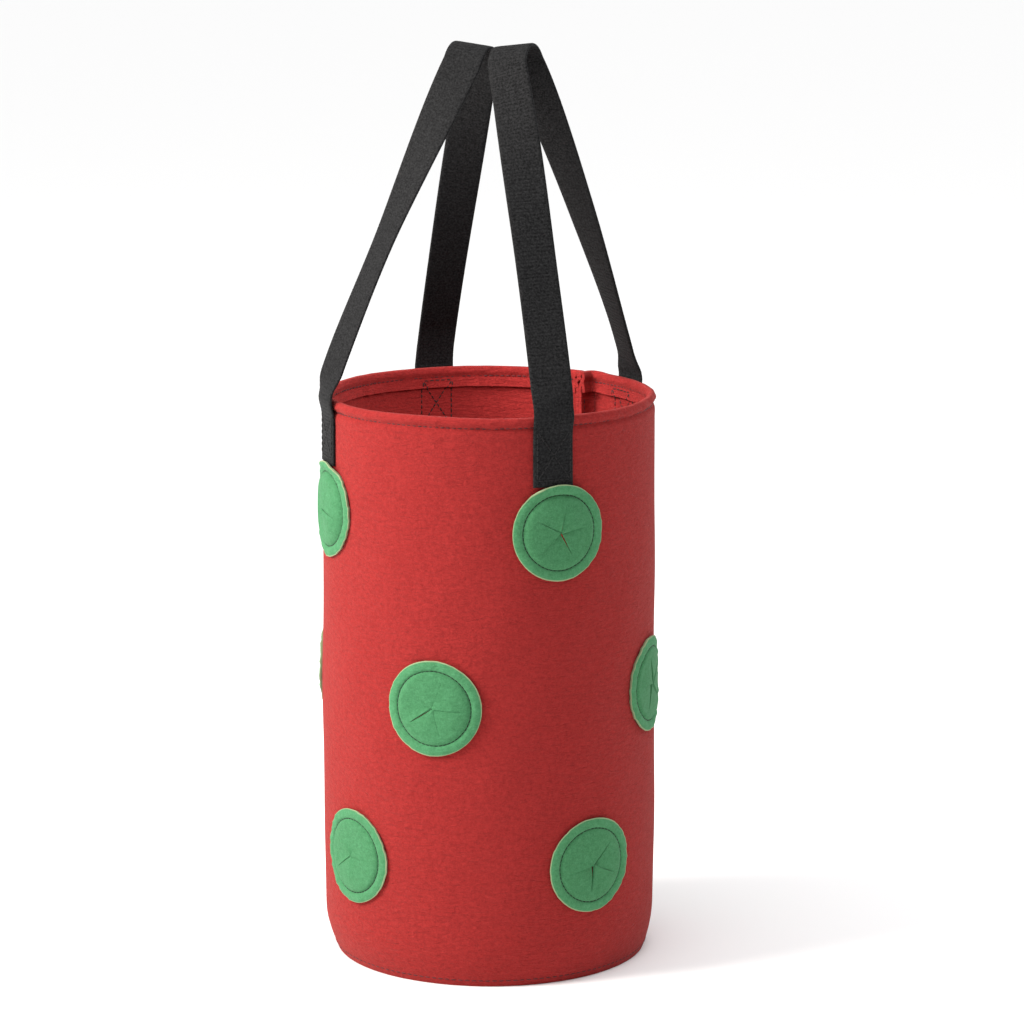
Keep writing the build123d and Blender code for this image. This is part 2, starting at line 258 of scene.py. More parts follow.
def webbing_yarn(name, pale, deep):
    """Polypropylene webbing, woven from flat tows. Across each rib of weft run bundles of warp, 2.6 mm
    from one to the next, with a matte, faintly waxy face."""
    material, shader = new_material(name, Roughness=0.75, IOR=1.49, Specular_IOR_Level=0.1,
                                    Sheen_Weight=0.02, Sheen_Roughness=0.4)
    place = add_node(material, "ShaderNodeTexCoord")
    warp = add_node(material, "ShaderNodeTexWave", [("Vector", place, "UV")],
                    wave_type="BANDS", bands_direction="X", wave_profile="SIN",
                    Scale=120.0, Distortion=0.6, Detail=1.0)
    warp.inputs["Detail Scale"].default_value = 900.0
    fibres = add_node(material, "ShaderNodeTexNoise", [("Vector", place, "Object")],
                      Scale=900.0, Detail=3.0, Roughness=0.65)
    shade = add_node(material, "ShaderNodeValToRGB", [("Fac", fibres, "Fac")])
    shade.color_ramp.elements[0].position, shade.color_ramp.elements[0].color = 0.35, linear(deep)
    shade.color_ramp.elements[1].position, shade.color_ramp.elements[1].color = 0.68, linear(pale)
    tows = add_node(material, "ShaderNodeBump", [("Height", warp, "Fac")], Strength=0.12, Distance=0.0004)
    strands = add_node(material, "ShaderNodeBump", [("Height", fibres, "Fac"), ("Normal", tows, "Normal")],
                       Strength=0.3, Distance=0.0004)
    material.node_tree.links.new(shade.outputs["Color"], shader.inputs["Base Color"])
    material.node_tree.links.new(strands.outputs["Normal"], shader.inputs["Normal"])
    return material


def spun_thread(name, pale, deep):
    """Spun polyester sewing thread of two plies, with a slight gleam on each stitch."""
    material, shader = new_material(name, Roughness=0.6, IOR=1.5, Specular_IOR_Level=0.35)
    place = add_node(material, "ShaderNodeTexCoord")
    plies = add_node(material, "ShaderNodeTexNoise", [("Vector", place, "Object")],
                     Scale=2200.0, Detail=2.0)
    shade = add_node(material, "ShaderNodeValToRGB", [("Fac", plies, "Fac")])
    shade.color_ramp.elements[0].position, shade.color_ramp.elements[0].color = 0.35, linear(deep)
    shade.color_ramp.elements[1].position, shade.color_ramp.elements[1].color = 0.65, linear(pale)
    material.node_tree.links.new(shade.outputs["Color"], shader.inputs["Base Color"])
    return material


RING_RADIUS = PORT_RADIUS - 6.0    # of the stitches that hold a port
RED_FELT = felt("red_needled_felt", "#A12D2B", "#8E2423", "#791B1B", 1.0, "#FFB9AE")
# middle is painted shade: the colour within the ring of stitches is multiplied by it, a little darker
GREEN_FELT = felt("green_needled_felt", "#528F65", "#458056", "#396F48", 0.6, "#D9FFE2",
                  edge=(PORT_RADIUS * MM - 0.0004, "#8B9A75"), middle=(RING_RADIUS * MM, "#F2F4F2"))
WEBBING = webbing_yarn("black_polypropylene_webbing", "#2B2B2C", "#0B0B0C")
RED_THREAD = spun_thread("dark_red_thread", "#5A171B", "#3E0E12")
GREEN_THREAD = spun_thread("dark_green_thread", "#0D2C17", "#071A0D")
BLACK_THREAD = spun_thread("black_thread", "#151314", "#0A090A")


# ---- side wall: one sheet from the base over the folded rim, its ends turned in at the seam -----
SEAM_HALF_GAP = FELT / 2 + 0.05
SEAM_BEND = 4.6
FIN_DEPTH = 6.0
# the rim's fold: how far in from the wall's middle the sheet lies, against depth below the top.
# It is pinched at the stitches and puffs out into a roll above them.
ROLL_PINCH, HEM_PINCH = 1.15, 1.9
ROLL_TOP = 1.7               # the fold turns over this far below the rim's top
HEM_EDGE = 12.8              # and the hem's free edge is this far below it
ROLL_OUT = [(-34.0, 0.0), (-15.0, 0.0), (-8.8, 0.12), (-6.0, ROLL_PINCH), (-4.6, 0.2),
            (-3.0, -0.75), (-ROLL_TOP, -0.2)]
ROLL_IN = [(-ROLL_TOP, 2.2), (-3.0, 2.75), (-4.7, 2.3), (-6.0, HEM_PINCH), (-8.5, 2.3),
           (-11.0, 2.6), (-HEM_EDGE, 2.9)]
WALL_ROWS = 140              # rows of points from the base up to the rim's fold
# where the hem is gathered into small folds: azimuth and half width, in degrees
HEM_PUCKERS = [(112, 5), (158, 8), (20, 4), (-60, 6), (-150, 5)]


def rim_profile():
    """(inset, z) of the wall's middle surface: from the base up, over the fold, down to the hem's edge."""
    plain = np.linspace(0.5, RIM_HEIGHT - 16.0, WALL_ROWS)
    upper = np.linspace(-15.4, -ROLL_TOP, 26)
    over = np.linspace(0.0, math.pi, 9)[1:-1]
    half = (ROLL_IN[0][1] - ROLL_OUT[-1][1]) / 2
    lower = np.linspace(-ROLL_TOP, -HEM_EDGE, 20)
    drop_in = np.array(ROLL_IN)[::-1]
    inset = np.concatenate([0 * plain, through(upper, ROLL_OUT),
                            ROLL_OUT[-1][1] + half - half * np.cos(over), through(lower, drop_in)])
    z = np.concatenate([plain, RIM_HEIGHT + upper,
                        RIM_HEIGHT - ROLL_TOP + 0.7 * np.sin(over), RIM_HEIGHT + lower])
    return inset, z


def wall_sheet():
    """Middle surface of the wall as a grid. Round the bag it is a circle between two hooks at the seam:
    each hook is a quarter circle that turns the end inwards, and a straight fin follows it."""
    inset, z = rim_profile()
    inset, z = inset[:, None], z[:, None]
    fin, hook, main = np.linspace(1, 0, 4, endpoint=False), np.linspace(1, 0, 7, endpoint=False), 214
    q = np.linspace(0.0, 1.0, main)[None, :]
    nominal = SEAM_AZIMUTH + q * 2 * math.pi
    near = np.minimum(q, 1 - q) * 2 * math.pi * WALL_RADIUS
    # the hem's free edge ripples a little, most in a few places
    free = smooth(inset, 1.9, 2.6) * smooth(RIM_HEIGHT - z, 6.0, 12.0)
    crowded = sum(np.exp(-(np.angle(np.exp(1j * (nominal - math.radians(place)))) / math.radians(wide))**2)
                  for place, wide in HEM_PUCKERS)
    ripple = free * (0.75 * np.sin(nominal * 61) * crowded + 0.22 * np.sin(nominal * 23 + 1))
    waver = smooth(z, RIM_HEIGHT - 12, RIM_HEIGHT - 3) * (
        0.16 * np.sin(nominal * 37 + 0.6) + 0.14 * np.sin(nominal * 53) + 0.25 * np.sin(nominal * 4 + 2))
    bend = 1.2 + (SEAM_BEND - 1.2) * smooth(z, 8.0, 30.0)
    depth = 1.0 + (FIN_DEPTH - 1.0) * smooth(z, 8.0, 30.0)
    middle = wall_radius(nominal, z) - FELT / 2 + waver
    start, end = middle[:, :1], middle[:, -1:]
    angle = np.concatenate([fin * 0 + 1, hook]) * math.pi / 2
    out = np.concatenate([fin, hook * 0])

    def turned_in(radius, side):
        """Hook and fin of one end; side is +1 after the seam and -1 before it."""
        radial = radius - bend + (bend - inset) * np.cos(angle) - depth * out
        lateral = SEAM_HALF_GAP + bend - (bend - inset) * np.sin(angle)
        return radial, SEAM_AZIMUTH + side * lateral / radial

    edge = (SEAM_HALF_GAP + bend) / (middle - inset)
    first_r, first_a = turned_in(start, 1)
    last_r, last_a = turned_in(end, -1)
    azimuth = np.concatenate([first_a, SEAM_AZIMUTH + edge + q * (2 * math.pi - 2 * edge),
                              last_a[:, ::-1]], 1)
    radius = np.concatenate([first_r, middle - inset - ripple, last_r[:, ::-1]], 1)
    # one end of the rim stands a little higher than the other where they meet
    still = np.zeros((1, first_r.shape[1]))
    step = np.concatenate([still, 0.9 * np.exp(-(near / 9.0)**2) * (q > 0.5), still + 0.9], 1)
    slack = np.sqrt(np.sin(math.pi * q)) * (0.3 * np.sin(nominal * 3 + 0.4) + 0.2 * np.sin(nominal * 7))
    droop = np.concatenate([still, slack, still], 1)
    height = z + step * smooth(z, RIM_HEIGHT - 30, RIM_HEIGHT - 6) + droop * smooth(
        z, RIM_HEIGHT - 60, RIM_HEIGHT - 8)
    points = np.stack([radius * np.cos(azimuth), radius * np.sin(azimuth), height], -1)
    along = np.concatenate([[0], np.cumsum(np.hypot(np.diff(inset[:, 0]), np.diff(z[:, 0])))])
    uv = np.stack(np.broadcast_arrays((azimuth - SEAM_AZIMUTH) * WALL_RADIUS, along[:, None]), -1) * MM
    return points, uv


def cut_holes(points, quads, holes):
    """Leaves out the faces within each hole and moves the points on its border onto its circle. A hole is
    (azimuth, height, radius), and distances are measured along the wall."""
    flat = points.reshape(-1, 3)
    outer = np.arange(len(flat)) // points.shape[1] < WALL_ROWS
    azimuth = np.arctan2(flat[:, 1], flat[:, 0])
    keep = np.ones(len(quads), bool)
    moved = flat.copy()
    for hole_azimuth, height, radius in holes:
        across = np.angle(np.exp(1j * (azimuth - hole_azimuth))) * WALL_RADIUS
        up = flat[:, 2] - height
        away = np.where(outer, np.hypot(across, up), 1e6)
        inside = away[quads].mean(1) < radius
        border = np.intersect1d(quads[inside & keep], quads[~inside & keep])
        keep &= ~inside
        scale = radius / away[border]
        turned = hole_azimuth + across[border] * scale / WALL_RADIUS
        distance = np.hypot(flat[border, 0], flat[border, 1])
        moved[border] = np.stack([distance * np.cos(turned), distance * np.sin(turned),
                                  height + up[border] * scale], -1)
    return moved, quads[keep]


PORTS = [(row, number, node_azimuth(f"{row}_port_{number}_ring_stitch"),
          node_height(f"{row}_port_{number}"))
         for row in ("top", "middle", "bottom") for number in (1, 2, 3, 4)]
HOLE_RADIUS = RING_RADIUS - 2.0    # of the wall's hole behind a port


def make_side_wall():
    """The wall's one sheet of felt, with a round hole behind each port."""
    points, uv = wall_sheet()
    quads = grid_faces(*points.shape[:2])
    flat, kept = cut_holes(points, quads, [(a, z, HOLE_RADIUS) for _, _, a, z in PORTS])
    used, faces = np.unique(kept, return_inverse=True)
    wall = add_mesh("felt_side_wall", flat[used], faces.reshape(-1, 4).tolist(),
                    uv.reshape(-1, 2)[used], RED_FELT)
    thicken(wall, FELT, 0.5)
    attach(wall, "root")
    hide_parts("side_wall")


# ---- bottom panel ----------------------------------------------------------------------------
PANEL_CLEARANCE = 1.2        # between the panel's turned-up edge and the wall


def make_bottom_panel():
    """A disc whose edge curls up inside the wall: the height over the radius is flat, then a quarter
    circle, then the wall's own slope."""
    bend = 4.0
    turn = np.linspace(0, 2 * math.pi, 168, endpoint=False)
    edge = wall_radius(turn, bend) - FELT - PANEL_CLEARANCE - FELT / 2
    inner = edge.max()
    flat = np.linspace(1.0, inner - bend, 34)
    curl = np.linspace(0, math.pi / 2, 8)[1:]
    up = np.linspace(0, 6.0, 4)[1:]
    radius = np.concatenate([flat, inner - bend + bend * np.sin(curl), inner + 0.12 * up])
    height = np.concatenate([flat * 0, bend * (1 - np.cos(curl)), bend + up]) + FELT / 2
    r, a = radius[:, None], turn[None, :]
    sag = 0.35 * np.sin(3 * a + 1) * np.sin(r / 17.0) * smooth(inner - r, 0.0, 20.0)
    z = height[:, None] + np.maximum(sag, 0) * 1.2
    r = r * edge[None, :] / inner
    points = np.stack(np.broadcast_arrays(r * np.cos(a), r * np.sin(a), z), -1).reshape(-1, 3)
    faces = grid_faces(len(radius), len(turn), wrap=True)[:, ::-1].tolist()
    faces.append(list(range(len(turn)))[::-1])
    uv = points[:, :2] * MM
    panel = add_mesh("felt_bottom_panel", points, [f[::-1] for f in faces], uv, RED_FELT)
    thicken(panel, FELT, 0.5)
    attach(panel, "root")
    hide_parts("bottom_panel", "bottom_flange")


# ---- stitches --------------------------------------------------------------------------------
SEAM_CLEAR = 6.5             # level rows stop this far short of the side seam
SEAM_STITCH_DEPTH = 8.4      # how far in from the wall's face the seam's own stitches run


def stitch_row(paths, length, gap, width):
    """Stitches along paths of (points, outward normals): each is a bead with pointed ends, six sides
    round and five rings long, that dips into the cloth at both ends."""
    ring = np.linspace(0, 2 * math.pi, 6, endpoint=False)
    station = np.array([-0.5, -0.34, 0.0, 0.34, 0.5])
    girth = np.array([0.35, 0.85, 1.0, 0.85, 0.35]) * width / 2
    dip = np.array([-0.75, -0.15, 0.0, -0.15, -0.75]) * width / 2
    beads = []
    for points, normals in paths:
        step = np.linalg.norm(np.diff(points, axis=0), axis=1)
        along = np.concatenate([[0], np.cumsum(step)])
        count = max(1, int(round(along[-1] / (length + gap))))
        pitch = along[-1] / count
        centre = (np.arange(count) + 0.5) * pitch
        at = centre[:, None] + station[None, :] * (pitch - gap)
        spine = np.stack([np.interp(at, along, points[:, k]) for k in range(3)], -1)
        up = np.stack([np.interp(at, along, normals[:, k]) for k in range(3)], -1)
        tangent = spine[:, -1:] - spine[:, :1]
        tangent = tangent / np.linalg.norm(tangent, axis=-1, keepdims=True)
        side = np.cross(tangent + 0 * up, up)
        side /= np.linalg.norm(side, axis=-1, keepdims=True)
        rim = (np.cos(ring)[:, None] * side[:, :, None] + 0.75 * np.sin(ring)[:, None] * up[:, :, None])
        dipped = spine + up * dip[None, :, None]
        beads.append(dipped[:, :, None] + rim * girth[None, :, None, None])
    beads = np.concatenate(beads)
    count, rings, sides = beads.shape[:3]
    one = grid_faces(rings, sides, wrap=True)
    quads = (one[None] + (np.arange(count) * rings * sides)[:, None, None]).reshape(-1, 4).tolist()
    caps = np.arange(count)[:, None] * rings * sides
    first = (caps + np.arange(sides)[::-1]).tolist()
    last = (caps + (rings - 1) * sides + np.arange(sides)).tolist()
    return beads.reshape(-1, 3), quads + first + last


def make_stitches(name, node, paths, length, gap, width, material):
    """One row of stitches as a piece that stands for a thread's node."""
    points, faces = stitch_row(paths, length, gap, width)
    thread = add_mesh(name, points, faces, points[:, :2] * MM, material)
    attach(thread, "root")
    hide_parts(node)


def ring_path(off_wall, z, start, span, inward=False):
    """A level run round the bag at a distance off the wall's face, with its outward or inward normals."""
    turn = start + np.linspace(0, span, 500)
    normal = np.stack([np.cos(turn), np.sin(turn), 0 * turn], -1)
    return on_wall(turn, 0.0, z, off_wall), -normal if inward else normal


def make_wall_threads():
    """The rim's two faces of topstitching, the bottom edge's row and a row on each fin of the seam."""
    clear = SEAM_CLEAR / WALL_RADIUS
    start, span = SEAM_AZIMUTH + clear, 2 * math.pi - 2 * clear
    z = RIM_HEIGHT - RIM_STITCH_DROP
    rows = [ring_path(-ROLL_PINCH + 0.05, z, start, span),
            ring_path(-FELT - HEM_PINCH + 0.05, z, start, span, inward=True)]
    make_stitches("rim_topstitch_thread", "rim_topstitch", rows, 3.2, 0.3, 1.0, RED_THREAD)
    rows = [ring_path(0.05, EDGE_STITCH_HEIGHT, start, span)]
    make_stitches("bottom_edge_thread", "bottom_edge_stitch", rows, 3.6, 0.5, 0.9, RED_THREAD)
    z = np.linspace(34.0, RIM_HEIGHT - 16.0, 200)
    face = SEAM_HALF_GAP + FELT / 2 + 0.1
    outward = np.array([math.cos(SEAM_AZIMUTH), math.sin(SEAM_AZIMUTH), 0.0])
    round_bag = np.array([-math.sin(SEAM_AZIMUTH), math.cos(SEAM_AZIMUTH), 0.0])
    rows = []
    for side in (1, -1):
        middle = outward * (WALL_RADIUS - SEAM_STITCH_DEPTH) + round_bag * face * side
        rows.append((middle + z[:, None] * np.array([0, 0, 1.0]), np.tile(round_bag * side, (len(z), 1))))
    make_stitches("side_seam_stitches", "side_seam_thread", rows, 3.4, 0.5, 0.8, RED_THREAD)


# ---- planting ports --------------------------------------------------------------------------
SLIT_LENGTH = 17.0
SLITS = 5
FLAP_ANGLE = 1.257           # of one flap, in radians
# height of the disc's middle surface off the wall, against the distance from its centre: a puffed
# middle, a groove at the ring of stitches and a loose flange
PORT_RISE = [(0.0, 2.1), (4.0, 2.5), (9.0, 2.7), (14.0, 2.75), (18.0, 2.6), (20.2, 2.3), (21.5, 1.5),
             (22.5, 0.3), (23.5, 1.35), (25.0, 1.8), (27.0, 1.6), (28.5, 1.1)]
# how much each port's middle puffs out, against that profile
PORT_PUFF = {"top": (1.0, 1.1, 0.9, 1.5), "middle": (0.45, 1.0, 1.1, 1.0), "bottom": (0.9, 1.0, 1.1, 0.9)}
# for each port, in order round its row: where its first slit points, in degrees from level, and how
# wide each slit stands open near the centre
PORT_SLITS = {
    "top": ((8, (0.3, 0.6, 0.3, 0.4, 0.7)), (50, (0.2, 0.9, 0.1, 1.1, 0.2)),
            (29, (1.0, 0.1, 0.5, 0.1, 1.2)), (62, (0.1, 0.3, 0.8, 0.1, 0.3))),
    "middle": ((34, (0.5, 0.9, 0.6, 0.5, 0.1)), (12, (0.1, 0.7, 1.2, 0.1, 0.3)),
               (57, (1.1, 0.1, 0.3, 0.9, 0.1)), (70, (0.1, 0.4, 1.4, 0.1, 0.1))),
    "bottom": ((47, (2.1, 0.2, 0.1, 1.4, 0.4)), (18, (0.2, 1.1, 0.1, 0.4, 1.0)),
               (66, (0.8, 0.1, 1.2, 0.2, 0.1)), (71, (0.2, 0.1, 0.7, 0.1, 0.1))),
}


def port_disc(seed, turn, openings, puff, strap_across=None):
    """(across, up, height) of a slit disc. Five sectors of rings and spokes share their rings beyond the
    slits; within them each is a flap with its own lift, whose sides part by the slit's opening. Where a
    strap ends under the flange, strap_across millimetres from the disc's middle, the flange rides up."""
    rng = np.random.default_rng(seed)
    spokes = 15
    inner = np.concatenate([[0.45], np.linspace(1.3, SLIT_LENGTH - 1.0, 13)])
    outer = np.concatenate([np.linspace(SLIT_LENGTH, 20.6, 4), np.linspace(21.2, 23.8, 8),
                            np.linspace(24.5, PORT_RADIUS, 5)])
    lift = rng.uniform(-1.0, 1.0, SLITS) * puff
    level = rng.uniform(0.25, 0.6, SLITS) * rng.choice([-1, 1], SLITS)
    wave = rng.uniform(0, 2 * math.pi, 6)

    def body(radius, angle):
        """Height of the whole disc: the puffed profile, slow swells and the flange's puckers."""
        rise = through(radius, PORT_RISE)
        rise = rise + (puff - 1) * (rise - 1.2) * smooth(22.0 - radius, 0, 4)
        swell = (0.35 * np.cos(angle + wave[0]) + 0.30 * np.cos(2 * angle + wave[1])
                 + 0.25 * np.cos(3 * angle + wave[2])) * smooth(21.0 - radius, 0, 9) * puff
        pucker = (0.2 * np.sin(19 * angle + wave[3]) + 0.2 * np.sin(31 * angle + wave[4])
                  + 0.2 * np.sin(7 * angle + wave[5])) * smooth(radius, 22.8, 25.0)
        if strap_across is None:
            return rise + swell + pucker
        x, y = radius * np.cos(angle), radius * np.sin(angle)
        on_strap = smooth(y, 22.0, 26.5) * (1 - smooth(np.abs(x - strap_across), 13.0, 21.0))
        return rise + swell + pucker + 2.0 * on_strap

    ragged = 1 + 0.006 * np.sin(3 * np.arange(SLITS * spokes) / spokes + wave[0])
    sector_points, faces = [], []
    share = np.linspace(0, 1, spokes + 1)[None, :]
    r = inner[:, None]
    taper = np.clip(1 - r / SLIT_LENGTH, 0, 1)**0.75
    for k in range(SLITS):
        angle = math.radians(turn) + (k + share) * 2 * math.pi / SLITS
        left, right = openings[k], openings[(k + 1) % SLITS]
        from_left, from_right = r * share * FLAP_ANGLE, r * (1 - share) * FLAP_ANGLE
        push = taper * (left / 2 * np.exp(-from_left / 3.0) - right / 2 * np.exp(-from_right / 3.0))
        curl = taper * (level[k] * np.exp(-from_left / 2.2)
                        - level[(k + 1) % SLITS] * np.exp(-from_right / 2.2))
        tip = lift[k] * (np.clip(1 - r / SLIT_LENGTH, 0, 1)**1.2
                         + 0.5 * np.sin(math.pi * share) * smooth(21.0 - r, 0, 7))
        x = r * np.cos(angle) - push * np.sin(angle)
        y = r * np.sin(angle) + push * np.cos(angle)
        z = body(r, angle) + curl + tip
        sector_points.append(np.stack([x, y, z], -1).reshape(-1, 3))
    size = len(inner) * (spokes + 1)
    round_count = SLITS * spokes
    angle = math.radians(turn) + np.arange(round_count)[None, :] / spokes * 2 * math.pi / SLITS
    r = outer[:, None] * (1 + (ragged[None, :] - 1) * smooth(outer[:, None], 25, 28.5))
    ring_points = np.stack([r * np.cos(angle), r * np.sin(angle),
                            body(outer[:, None] + 0 * angle, angle)], -1)
    base = SLITS * size
    for k in range(SLITS):
        faces.append(grid_faces(len(inner), spokes + 1, first=k * size))
        j = np.arange(spokes)
        last = k * size + (len(inner) - 1) * (spokes + 1) + j
        beyond = base + (k * spokes + j) % round_count
        after = base + (k * spokes + j + 1) % round_count
        faces.append(np.stack([last, last + 1, after, beyond], -1))
    faces.append(grid_faces(len(outer), round_count, wrap=True, first=base))
    points = np.concatenate(sector_points + [ring_points.reshape(-1, 3)])
    return points, np.concatenate(faces)[:, ::-1]


def make_ports():
    """Twelve slit discs, each with its ring of stitches."""
    for index, (row, number, azimuth, height) in enumerate(PORTS):
        turn, openings = PORT_SLITS[row][number - 1]
        across = None
        if row == "top":
            strap = ("right_front", "right_back", "left_back", "left_front")[number - 1]
            across = (node_azimuth(f"{strap}_strap_end") - azimuth) * WALL_RADIUS
        disc, faces = port_disc(100 + index, turn, openings, PORT_PUFF[row][number - 1], across)
        points = on_wall(azimuth, disc[:, 0], height + disc[:, 1], disc[:, 2])
        name = f"{row}_port_{number}"
        patch = add_mesh(f"{name}_felt_disc", points, faces.tolist(), disc[:, :2] * MM, GREEN_FELT)
        thicken(patch, PORT_FELT, 0.35)
        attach(patch, "root")
        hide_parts(name)
        around = np.linspace(0, 2 * math.pi, 241)
        rise = through(np.array([RING_RADIUS]), PORT_RISE)[0] + PORT_FELT / 2 + 0.25
        x, y = RING_RADIUS * np.cos(around), RING_RADIUS * np.sin(around)
        ring = on_wall(azimuth, x, height + y, rise + 0 * x)
        above = on_wall(azimuth, x, height + y, rise + 1 + 0 * x)
        make_stitches(f"{name}_ring_thread", f"{name}_ring_stitch", [(ring, above - ring)],
                      3.2, -0.5, 1.5, GREEN_THREAD)


# ---- straps ----------------------------------------------------------------------------------
STRAP_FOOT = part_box("right_webbing_loop")[0][2] / MM       # where a leg leaves the rim's stitches
WEBBING_OFF_WALL = 0.1 + WEBBING_THICKNESS / 2
FOOT_STIFFNESS = 12.0
CREST_STIFFNESS = 42.0
CREST_BEND = 15.0
CREST_GAP = 1.3
CREST_SHIFT = 3.2
LEG_SPREAD = math.radians(21.0)
LEG_LEAN = math.radians(20.5)
CREST_TILT = math.radians(7.0)
# each leg's webbing turns about the vertical just above the rim, in degrees, before it climbs
FOOT_TURN = {"right": (-12.0, -10.0), "left": (13.0, 0.0)}
TWIST_POWER = 1.8
RIB_PITCH = 2.2
RIB_HEIGHT = 0.3
RIM_BULGE = 2.0              # the strap stands off the rolled rim by this much
STRAP_TUCK = 2.0             # and ends this far below its cut end's place, under the port's flange


def strap_bottom(place):
    """Height of a strap's cut end, in millimetres."""
    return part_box(f"{place}_strap_end")[0][2] / MM


def crest_height(side):
    """Height of the webbing's middle at the top of a loop, from the loop's own box: its outer edge is
    higher by the lean of the webbing's width."""
    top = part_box("right_webbing_loop" if side > 0 else "left_webbing_loop")[1][2] / MM
    return top - WEBBING_WIDTH / 2 * math.sin(CREST_TILT) - 0.9


def strap_line(front, back, side, ends):
    """Middle line and width direction of one strap from its front end over the crest to its back end:
    upright on the wall, a Bezier leg, an arc, a Bezier leg and upright again."""
    up = np.array([-side * math.sin(CREST_TILT), 0.0, math.cos(CREST_TILT)])
    lean = np.array([-side * math.sin(LEG_LEAN), 0.0, math.cos(LEG_LEAN)])
    crest_width = np.array([math.cos(CREST_TILT), 0.0, side * math.sin(CREST_TILT)])
    crest_x = CREST_SHIFT + side * (WEBBING_WIDTH * math.cos(CREST_TILT) + CREST_GAP) / 2
    centre = np.array([crest_x, 0.0, crest_height(side)]) - up * CREST_BEND
    turn = math.pi / 2 - LEG_SPREAD
    halves = []
    turns = FOOT_TURN["right" if side > 0 else "left"]
    for azimuth, toward, end, foot_turn in ((front, -1.0, ends[0], turns[0]),
                                            (back, 1.0, ends[1], turns[1])):
        chord = np.array([0.0, toward, 0.0])
        outward = np.array([math.cos(azimuth), math.sin(azimuth), 0.0])
        round_bag = np.array([-math.sin(azimuth), math.cos(azimuth), 0.0])
        round_bag *= np.sign(round_bag[0])
        foot = outward * (WALL_RADIUS + WEBBING_OFF_WALL) + np.array([0, 0, STRAP_FOOT])
        crest_start = centre + (chord * math.sin(turn) + up * math.cos(turn)) * CREST_BEND
        climb = lean * math.sin(turn) - chord * math.cos(turn)
        upright = np.array([0.0, 0.0, FOOT_STIFFNESS])
        knots = (foot, foot + upright, crest_start - climb * CREST_STIFFNESS, crest_start)
        t = np.linspace(0, 1, 160, endpoint=False)[:, None]
        leg = ((1 - t)**3 * knots[0] + 3 * t * (1 - t)**2 * knots[1]
               + 3 * t * t * (1 - t) * knots[2] + t**3 * knots[3])
        z = np.linspace(end, STRAP_FOOT, 60, endpoint=False)[:, None]
        sewn = outward * (WALL_RADIUS + WEBBING_OFF_WALL) + z * np.array([0, 0, 1.0])
        twist = (1 - np.cos(math.pi * t**TWIST_POWER)) / 2
        above = leg[:, 2:3] - RIM_HEIGHT
        a = math.radians(foot_turn) * smooth(above, 2.0, 12.0) * (1 - smooth(above, 25.0, 110.0))
        turned = np.concatenate([round_bag[0] * np.cos(a) - round_bag[1] * np.sin(a),
                                 round_bag[0] * np.sin(a) + round_bag[1] * np.cos(a), 0 * a], 1)
        width = np.concatenate([np.tile(round_bag, (len(z), 1)),
                                turned * (1 - twist) + crest_width * twist])
        halves.append((np.concatenate([sewn, leg]), width))
    bend = turn * np.linspace(1, -1, 41)[:, None]
    crest = centre + (np.array([0, -1.0, 0]) * np.sin(bend) + up * np.cos(bend)) * CREST_BEND
    line = np.concatenate([halves[0][0], crest, halves[1][0][::-1]])
    width = np.concatenate([halves[0][1], np.tile(crest_width, (len(bend), 1)), halves[1][1][::-1]])
    return line, width


def webbing_section():
    """(across, off) round the webbing's section: two flat faces and two rounded selvedges."""
    half, thick = WEBBING_WIDTH / 2 - 0.2, WEBBING_THICKNESS / 2
    flat = np.linspace(-1, 1, 12) * (half - thick)
    bend = np.linspace(-math.pi / 2, math.pi / 2, 5)[1:-1]
    across = np.concatenate([flat, half - thick + thick * np.cos(bend), flat[::-1],
                             -half + thick - thick * np.cos(bend)])
    off = np.concatenate([flat * 0 - thick, thick * np.sin(bend), flat * 0 + thick, -thick * np.sin(bend)])
    return across, off


